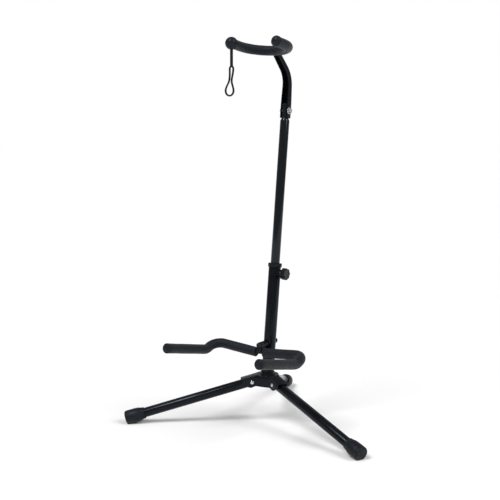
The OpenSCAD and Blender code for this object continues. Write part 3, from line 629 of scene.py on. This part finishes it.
def bead_tree():
    """Overlapping weld ripples along a line of edges."""
    tree, into, out = node_tree("weld bead", [
        ("Bead Width", "NodeSocketFloat", 2.2 * MM),
        ("Ripple Step", "NodeSocketFloat", 0.9 * MM),
        ("Seed", "NodeSocketInt", 7)])
    n, link = tree.nodes, tree.links.new
    line = n.new("GeometryNodeMeshToCurve")
    dots = n.new("GeometryNodeCurveToPoints")
    dots.mode = "LENGTH"
    link(into.outputs["Geometry"], line.inputs["Mesh"])
    link(line.outputs["Curve"], dots.inputs["Curve"])
    link(into.outputs["Ripple Step"], dots.inputs["Length"])
    drop = n.new("GeometryNodeMeshIcoSphere")
    drop.inputs["Radius"].default_value = 0.5
    drop.inputs["Subdivisions"].default_value = 2
    wobble = n.new("FunctionNodeRandomValue")
    wobble.data_type = "FLOAT"
    wobble.inputs[2].default_value = 0.9
    wobble.inputs[3].default_value = 1.12
    link(into.outputs["Seed"], wobble.inputs["Seed"])
    size = n.new("ShaderNodeMath")
    size.operation = "MULTIPLY"
    link(into.outputs["Bead Width"], size.inputs[0])
    link(wobble.outputs[1], size.inputs[1])
    copies = n.new("GeometryNodeInstanceOnPoints")
    link(dots.outputs["Points"], copies.inputs["Points"])
    link(drop.outputs["Mesh"], copies.inputs["Instance"])
    link(size.outputs[0], copies.inputs["Scale"])
    finish_tree(tree, copies.outputs["Instances"], out, "black_coat")
    return tree


def points_mesh(spots):
    """Bare points, each with the direction it faces kept as an attribute."""
    bm = bmesh.new()
    aim = bm.verts.layers.float_vector.new("aim")
    for place, along in spots:
        bm.verts.new(place)[aim] = along
    mesh = bpy.data.meshes.new("spots")
    bm.to_mesh(mesh)
    bm.free()
    return mesh


def turns(count):
    return [2 * math.pi * i / count for i in range(count)]


# ---- operators ----

class STAND_OT_stage(bpy.types.Operator):
    """Camera, soft studio light, pale floor and white surroundings"""
    bl_idname = "stand.stage"
    bl_label = "Studio stage"

    def execute(self, context):
        scene = context.scene
        turn, tilt = math.radians(VIEW_BEARING), math.radians(VIEW_TILT)
        right = Vector((math.cos(turn), math.sin(turn), 0))
        back = Vector((math.sin(turn) * math.cos(tilt), -math.cos(turn) * math.cos(tilt),
                       math.sin(tilt)))
        up = back.cross(right)
        lens = bpy.data.cameras.new("camera")
        lens.sensor_width = 36
        lens.lens = VIEW_LENS
        lens.clip_end = 30
        camera = bpy.data.objects.new("camera", lens)
        scene.collection.objects.link(camera)
        where = Vector((POLE_BASE.x, POLE_BASE.y, 0)) + Vector(VIEW_PLACE)
        camera.matrix_world = Matrix((
            (right.x, up.x, back.x, where.x), (right.y, up.y, back.y, where.y),
            (right.z, up.z, back.z, where.z), (0, 0, 0, 1)))
        scene.camera = camera

        scene.view_settings.view_transform = "Standard"
        scene.view_settings.look = "None"
        world = bpy.data.worlds.new("surroundings")
        scene.world = world
        world.use_nodes = True
        sky = world.node_tree.nodes["Background"]
        sky.inputs["Color"].default_value = (1, 1, 1, 1)
        ray = world.node_tree.nodes.new("ShaderNodeLightPath")
        level = world.node_tree.nodes.new("ShaderNodeMapRange")
        level.inputs["To Min"].default_value = 0.34
        level.inputs["To Max"].default_value = 1.0
        world.node_tree.links.new(ray.outputs["Is Camera Ray"], level.inputs["Value"])
        world.node_tree.links.new(level.outputs["Result"], sky.inputs["Strength"])

        bm = bmesh.new()
        bmesh.ops.create_grid(bm, x_segments=1, y_segments=1, size=14)
        mesh = bpy.data.meshes.new("floor")
        bm.to_mesh(mesh)
        bm.free()
        floor = bpy.data.objects.new("floor", mesh)
        scene.collection.objects.link(floor)
        f = Finish("studio floor", colours().floor, 0.6, specular=0.1)
        tint = f.ramp(f.grain(2.0, 3), 0.3, 0.7)
        f.colour(f.mix(tint, shade(colours().floor, 0.99), tuple(colours().floor)))
        mesh.materials.append(f.mat)

        # two broad soft suns, by bearing and height in degrees, from the left and the right
        for name, bearing, height, strength, spread in (
                ("key_light", -14, 54, 1.9, 24), ("fill_light", 96, 42, 1.35, 30)):
            turn, tilt = math.radians(bearing), math.radians(height)
            toward = Vector((math.sin(turn) * math.cos(tilt), -math.cos(turn) * math.cos(tilt),
                             math.sin(tilt)))
            light = bpy.data.lights.new(name, "SUN")
            light.energy = strength
            light.angle = math.radians(spread)
            lamp = bpy.data.objects.new(name, light)
            scene.collection.objects.link(lamp)
            lamp.matrix_world = basis(toward * 3, toward)
        return {"FINISHED"}


class STAND_OT_hub(bpy.types.Operator):
    """Pressed hub plates, the star over them and the pole's sleeve, with their welds"""
    bl_idname = "stand.hub"
    bl_label = "Hub"

    def execute(self, context):
        soft = sizes().edge_soft * 1.7
        for node in ("hub_plate_front", "hub_plate_right", "hub_plate_left", "hub_star"):
            softened(node, node + "_pressed", soft)
        softened("hub_sleeve", "hub_sleeve_turned", soft)

        # weld beads: round the sleeve on the star, and round the two bosses on the tube
        proud = 0.3 * MM
        star_top = max(v.co.z for v in frame["nodes"]["hub_star"].data.vertices)
        foot = POLE_BASE + POLE * ((star_top - POLE_BASE.z) / POLE.z)
        rings = [[foot + Vector((math.cos(t), math.sin(t), 0)) * (SLEEVE_RADIUS + proud)
                  for t in turns(72)]]
        for spot, out, boss_r in ((CLAMP, X, CLAMP_BOSS_RADIUS), (BOLT, -Y, CRADLE_BOSS_RADIUS)):
            flat = (out - POLE * out.dot(POLE)).normalized()
            side = POLE.cross(flat)
            centre = POLE_BASE + POLE * (spot - POLE_BASE).dot(POLE)
            ring = []
            for t in turns(48):
                s = math.cos(t) * (boss_r + proud)
                depth = math.sqrt(TUBE_RADIUS ** 2 - s ** 2) + proud
                ring.append(centre + side * s + flat * depth
                            + POLE * math.sin(t) * (boss_r + proud))
            rings.append(ring)
        bm = bmesh.new()
        for ring in rings:
            verts = [bm.verts.new(p) for p in ring]
            for a, b in zip(verts, verts[1:] + verts[:1]):
                bm.edges.new((a, b))
        mesh = bpy.data.meshes.new("bead_lines")
        bm.to_mesh(mesh)
        bm.free()
        beads = run_tree("weld_beads", bead_tree(), mesh,
                         {"Bead Width": sizes().bead_size, "Ripple Step": 0.9 * MM, "Seed": 7},
                         "black_coat")
        settle(beads, "base", "black_coat")
        return {"FINISHED"}


class STAND_OT_tubes(bpy.types.Operator):
    """Leg tubes, outer tube, mast, collar and the pole's inner bush"""
    bl_idname = "stand.tubes"
    bl_label = "Tubes"

    def execute(self, context):
        soft = sizes().edge_soft
        for leg in LEGS:
            softened("leg_tube_" + leg, "leg_" + leg + "_coated", soft)
        softened("outer_tube", "outer_tube_coated", soft)
        softened("tube_collar", "collar_moulded", 0.7 * MM, 3, "collar_plastic")
        softened("mast_guide", "mast_bush", soft, 1, "collar_plastic")
        softened("mast_tube", "mast_enamelled", soft, 2, "gloss_coat")
        return {"FINISHED"}


class STAND_OT_feet(bpy.types.Operator):
    """Moulded rubber feet, flattened where they stand on the floor"""
    bl_idname = "stand.feet"
    bl_label = "Rubber feet"

    def execute(self, context):
        for leg in LEGS:
            pivot = Vector(joint["leg_" + leg + "_fold"]["pos_m"])
            axis = Vector(joint["leg_" + leg + "_fold"]["axis"])
            heading = Vector((axis.y, -axis.x, 0))
            dip = math.radians(LEG_DIP)
            along = heading * math.cos(dip) - Z * math.sin(dip)
            place = basis(pivot + along * LEG_LEN, along)
            profile = [(-26, 10.02), (-26, 11.2)]
            profile += arc(-25.4, 11.2, 0.6, 180, 90, 4)[1:]
            profile += [(-24.2, 12.1), (-23.2, 12.15)]
            profile += [(-22.6, 11.75), (-22.0, 11.72), (-21.4, 12.0)]
            profile += [(-18.0, 13.2), (-14.0, 14.15), (-10.0, 14.5), (-6.0, 14.72), (0, 14.8)]
            profile += [(6.2, 14.8), (6.6, 14.62), (7.2, 14.62), (7.6, 14.8)]
            profile += arc(11, 10.8, 4, 90, 0, 12)
            profile += [(15, 8.2), (14.7, 7.9), (14.7, 7.2), (15, 6.9), (15, 0)]
            profile = [(z * MM, r * MM) for z, r in profile]
            inner = [(0.0, 0.0), (0.0, 10.02 * MM), (-26 * MM, 10.02 * MM)]
            mesh = lathed("foot_" + leg + "_rubber", inner + profile[1:], place, 96, 0.0)
            o = add_object("foot_" + leg + "_rubber", mesh, "foot_rubber")
            settle(o, "leg_" + leg, "foot_rubber", "foot_" + leg)
        return {"FINISHED"}


class STAND_OT_rivets(bpy.types.Operator):
    """Domed rivets that hold the legs and the neck"""
    bl_idname = "stand.rivets"
    bl_label = "Rivets"

    def execute(self, context):
        spots = []
        for leg in LEGS:
            pivot = Vector(joint["leg_" + leg + "_fold"]["pos_m"])
            axis = Vector(joint["leg_" + leg + "_fold"]["axis"]).normalized()
            for s in (-1, 1):
                spots.append((pivot + axis * s * LEG_RIVET_HALF, axis * s))
        tree = rivet_tree("zinc_plate")
        heads = run_tree("leg_rivet_heads", tree, points_mesh(spots),
                         {"Head Radius": 4.0 * MM, "Head Height": sizes().rivet_dome},
                         "zinc_plate")
        settle(heads, "base", "zinc_plate")
        for leg in LEGS:
            lo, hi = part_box("leg_rivet_" + leg)
            axis = Vector(joint["leg_" + leg + "_fold"]["axis"]).normalized()
            middle = (lo + hi) / 2
            place = basis(middle - axis * 12.2 * MM, axis)
            shank = lathed("leg_rivet_" + leg + "_shank",
                           [(0, 0), (0, 2.5 * MM), (24.4 * MM, 2.5 * MM), (24.4 * MM, 0)],
                           place, 32)
            o = add_object("leg_rivet_" + leg + "_shank", shank, "zinc_plate")
            settle(o, "base", "zinc_plate", "leg_rivet_" + leg)

        lo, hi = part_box("neck_rivets")
        middle = (lo + hi) / 2
        spots = []
        for along in (-NECK_RIVET_STEP, NECK_RIVET_STEP):
            for s in (-1, 1):
                spots.append((middle + POLE * along + X * s * NECK_RIVET_HALF, X * s))
        heads = run_tree("neck_rivet_heads", rivet_tree("black_coat"), points_mesh(spots),
                         {"Head Radius": 3.3 * MM, "Head Height": 1.5 * MM}, "black_coat")
        settle(heads, "mast", "black_coat", "neck_rivets")
        return {"FINISHED"}


class STAND_OT_fittings(bpy.types.Operator):
    """Bosses, cradle plates, bolts, nuts, washers and ears"""
    bl_idname = "stand.fittings"
    bl_label = "Steel fittings"

    def execute(self, context):
        soft = sizes().edge_soft
        for node in ("clamp_boss", "cradle_boss", "cradle_back_plate", "cradle_front_plate",
                     "cradle_stop", "cradle_bolt", "cradle_cap_nut", "cradle_ear_left",
                     "cradle_ear_right", "cradle_rod_left", "cradle_rod_right", "yoke_rod"):
            softened(node, node + "_coated", soft)
        for node in ("cradle_washer", "clamp_washer", "clamp_stud", "neck_bolt", "neck_nut"):
            softened(node, node + "_plated", soft * 0.8, 2, "zinc_plate")
        # the channel is bent in short flats, each of which keeps its own shading
        softened("neck_channel", "neck_channel_pressed", 0, sharp=1)
        return {"FINISHED"}


class STAND_OT_knob(bpy.types.Operator):
    """Lobed clamp knob with a dished face"""
    bl_idname = "stand.knob"
    bl_label = "Clamp knob"

    def execute(self, context):
        lobes, big = sizes().knob_lobes, sizes().knob_radius
        lo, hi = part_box("clamp_knob")
        start = lo.x + 1.6 * MM
        thick = hi.x - start
        sides = lobes * 24
        bm = bmesh.new()

        def outline(scale, inset):
            ring = []
            for j in range(sides):
                t = 2 * math.pi * j / sides
                wave = abs(math.cos(lobes * t / 2)) ** 0.75
                r = (big - inset) * (0.80 + 0.20 * wave)
                ring.append((r * scale * math.cos(t), r * scale * math.sin(t)))
            return ring

        def circle(r):
            return [(r * math.cos(2 * math.pi * j / sides), r * math.sin(2 * math.pi * j / sides))
                    for j in range(sides)]

        stations = [(lo.x, circle(5.4 * MM)), (lo.x + 0.5 * MM, circle(6.0 * MM)),
                    (start, circle(6.0 * MM)), (start, outline(0.86, 0))]
        for a in range(0, 91, 15):
            inset = 1.1 * MM * (1 - math.sin(math.radians(a)))
            stations.append((start + 1.1 * MM * (1 - math.cos(math.radians(a))), outline(1, inset)))
        for a in range(90, -1, -15):
            inset = 1.5 * MM * (1 - math.sin(math.radians(a)))
            stations.append((start + thick - 1.5 * MM * (1 - math.cos(math.radians(a))),
                             outline(1, inset)))
        stations += [(start + thick, circle(7.4 * MM)), (start + thick - 0.5 * MM, circle(6.9 * MM)),
                     (start + thick - 0.7 * MM, circle(3.0 * MM))]
        rings = []
        for x, ring in stations:
            rings.append([bm.verts.new((x, CLAMP.y + a, CLAMP.z + b)) for a, b in ring])
        for a, b in zip(rings, rings[1:]):
            for j in range(sides):
                k = (j + 1) % sides
                bm.faces.new((a[j], a[k], b[k], b[j]))
        bm.faces.new(rings[0])
        bm.faces.new(rings[-1])
        bmesh.ops.recalc_face_normals(bm, faces=bm.faces)
        o = add_object("clamp_knob_moulded", to_mesh("clamp_knob_moulded", bm, 40), "knob_plastic")
        settle(o, "clamp", "knob_plastic", "clamp_knob")
        return {"FINISHED"}


def arm_points(side, root, back):
    """Corner points of a cradle arm, started at root and cut short of its tip by back."""
    pts = [BOLT + Vector((x * side, y, z)) * MM for x, y, z in ARM_CORNERS]
    first = (pts[1] - pts[0]).normalized()
    last = (pts[3] - pts[2]).normalized()
    pts[0] = pts[0] + first * (root - ARM_CORNERS[0][0]) * MM
    pts[3] = pts[3] - last * back * MM
    return pts


def yoke_points(back):
    """Corner points of the yoke, from its left tip to its right one."""
    slope = math.radians(YOKE_SLOPE)
    ahead = Vector((0, -math.cos(slope), math.sin(slope)))
    ball = STRAP_HINGE + Z * STRAP_BELOW
    left = ball - ahead * YOKE_ARM
    right = left + X * YOKE_WIDTH
    tip = right + ahead * (YOKE_ARM - back * MM)
    return [ball - ahead * back * MM, left, right, tip], ahead


def foam_radius(length):
    """Radius of foam at a place: slow wander, creases inside bends, rounded ends."""
    s = sizes()

    def at(travel, angle, place, inward):
        r = s.foam_radius
        r += s.foam_wander * (noise.noise(place * 55) + 0.5 * noise.noise(place * 190))
        around = Vector((math.cos(angle), math.sin(angle), 0))
        r += 0.5 * s.foam_wander * noise.noise(around * 2.1 + Vector((0, 0, travel * 90)))
        crease = 0.5 + 0.5 * math.sin(travel / (2.6 * MM) * math.pi
                                      + 2.0 * noise.noise(place * 160))
        r -= s.foam_ripple * inward ** 1.5 * crease ** 3
        end = min(travel, length - travel)
        soft = 1.3 * MM
        if end < soft:
            r -= soft - math.sqrt(max(0.0, soft ** 2 - (soft - end) ** 2))
        return r

    return at


def path_length(path):
    return sum((b[0] - a[0]).length for a, b in zip(path, path[1:]))


def foam_sleeve(name, points, radii):
    path = rounded_path(points, radii, 1.2 * MM)
    head, tail = path[0], path[-1]
    first = (path[1][0] - path[0][0]).normalized()
    last = (path[-2][0] - path[-1][0]).normalized()
    for k in (0.9, 0.6, 0.3, 0.1):
        path.insert(1, (head[0] + first * k * MM, Z, 0.0))
        path.insert(len(path) - 1, (tail[0] + last * k * MM, Z, 0.0))
    path = sorted_path(path)
    mesh = swept(name, path, foam_radius(path_length(path)), 72)
    o = add_object(name, mesh, "foam")
    return o


def sorted_path(path):
    """Drops points that came closer than a tenth of a millimetre or went backwards."""
    out = [path[0]]
    for p in path[1:]:
        step = p[0] - out[-1][0]
        if step.length < 0.05 * MM:
            continue
        if len(out) > 1 and step.dot(out[-1][0] - out[-2][0]) <= 0:
            continue
        out.append(p)
    return out


class STAND_OT_foam(bpy.types.Operator):
    """Foam sleeves of the cradle arms and the yoke"""
    bl_idname = "stand.foam"
    bl_label = "Foam sleeves"

    def execute(self, context):
        for side, label in SIDES:
            o = foam_sleeve("cradle_sleeve_" + label, arm_points(side, ARM_FOAM_START, 6.0),
                            ARM_FOAM_BENDS)
            settle(o, "cradle_arm_" + label, "foam", "cradle_foam_" + label)
        points, _ = yoke_points(5.0)
        o = foam_sleeve("yoke_sleeve", points, (YOKE_BEND, YOKE_BEND))
        settle(o, "mast", "foam", "yoke_foam")
        return {"FINISHED"}


class STAND_OT_caps(bpy.types.Operator):
    """Moulded end caps of the arms and the yoke, and the ball that holds the strap"""
    bl_idname = "stand.caps"
    bl_label = "End caps"

    def execute(self, context):
        for side, label in SIDES:
            pts = arm_points(side, ARM_CORNERS[0][0], 0.0)
            along = (pts[3] - pts[2]).normalized()
            profile = [(-6, 4.0), (-6, 9.6), (-5.6, 9.95), (-5.0, 9.95), (-4.7, 10.25)]
            profile += arc(-2.1, 8.3, 2.0, 90, 0, 8)
            profile += [(0.0, 7.2), (-0.25, 6.9), (-0.25, 6.5), (0, 6.2), (0.15, 3.0), (0.18, 0)]
            profile = [(-6, 0)] + [(z - 0.18, r) for z, r in profile[1:]]
            profile = [(z * MM, r * MM) for z, r in profile]
            name = "cradle_cap_" + label + "_moulded"
            o = add_object(name, lathed(name, profile, basis(pts[3], along)), "cap_rubber")
            settle(o, "cradle_arm_" + label, "cap_rubber", "cradle_cap_" + label)
        softened("yoke_cap_left", "yoke_ball_moulded", 0.5 * MM, 3, "cap_rubber", 50)
        pts, ahead = yoke_points(0.0)
        profile = [(-5, 0), (-5, 10.4), (-4.7, 10.8), (-1.4, 10.8), (-1.1, 10.4), (-0.6, 10.35),
                   (-0.3, 10.75)]
        dome = [(-6.48 + 12.64 * math.cos(math.radians(a)), 12.64 * math.sin(math.radians(a)))
                for a in range(58, -1, -4)]
        profile += [(z, r) for z, r in dome if r < 10.7]
        profile[-1] = (profile[-1][0], 0)
        profile = [(z * MM, r * MM) for z, r in profile]
        o = add_object("yoke_cap_moulded", lathed("yoke_cap_moulded", profile,
                                                  basis(pts[3], ahead)), "cap_rubber")
        settle(o, "mast", "cap_rubber", "yoke_cap_right")
        return {"FINISHED"}


class STAND_OT_strap(bpy.types.Operator):
    """Moulded rubber strap with its keyhole eye"""
    bl_idname = "stand.strap"
    bl_label = "Neck strap"

    def execute(self, context):
        softened("neck_strap", "neck_strap_moulded", sizes().strap_soft, 4, "cap_rubber", 60)
        return {"FINISHED"}


class STAND_PT_panel(bpy.types.Panel):
    """Lists the stand's sizes, colours and building steps"""
    bl_idname = "STAND_PT_panel"
    bl_label = "Guitar stand"
    bl_space_type = "VIEW_3D"
    bl_region_type = "UI"
    bl_category = "Guitar stand"

    def draw(self, context):
        for group in (context.scene.stand_sizes, context.scene.stand_colours):
            box = self.layout.box()
            for key in group.__annotations__:
                box.prop(group, key)
        for step in STEPS:
            self.layout.operator(step.bl_idname)


STEPS = (STAND_OT_stage, STAND_OT_hub, STAND_OT_tubes, STAND_OT_feet, STAND_OT_rivets,
         STAND_OT_fittings, STAND_OT_knob, STAND_OT_foam, STAND_OT_caps, STAND_OT_strap)
CLASSES = (StandSizes, StandColours, *STEPS, STAND_PT_panel)


def register():
    for c in CLASSES:
        bpy.utils.register_class(c)
    bpy.types.Scene.stand_sizes = bpy.props.PointerProperty(type=StandSizes)
    bpy.types.Scene.stand_colours = bpy.props.PointerProperty(type=StandColours)


def unregister():
    del bpy.types.Scene.stand_colours
    del bpy.types.Scene.stand_sizes
    for c in reversed(CLASSES):
        bpy.utils.unregister_class(c)


def main():
    register()
    make_finishes()
    for step in STEPS:
        group, name = step.bl_idname.split(".")
        getattr(getattr(bpy.ops, group), name)()


if __name__ == "__main__":
    main()
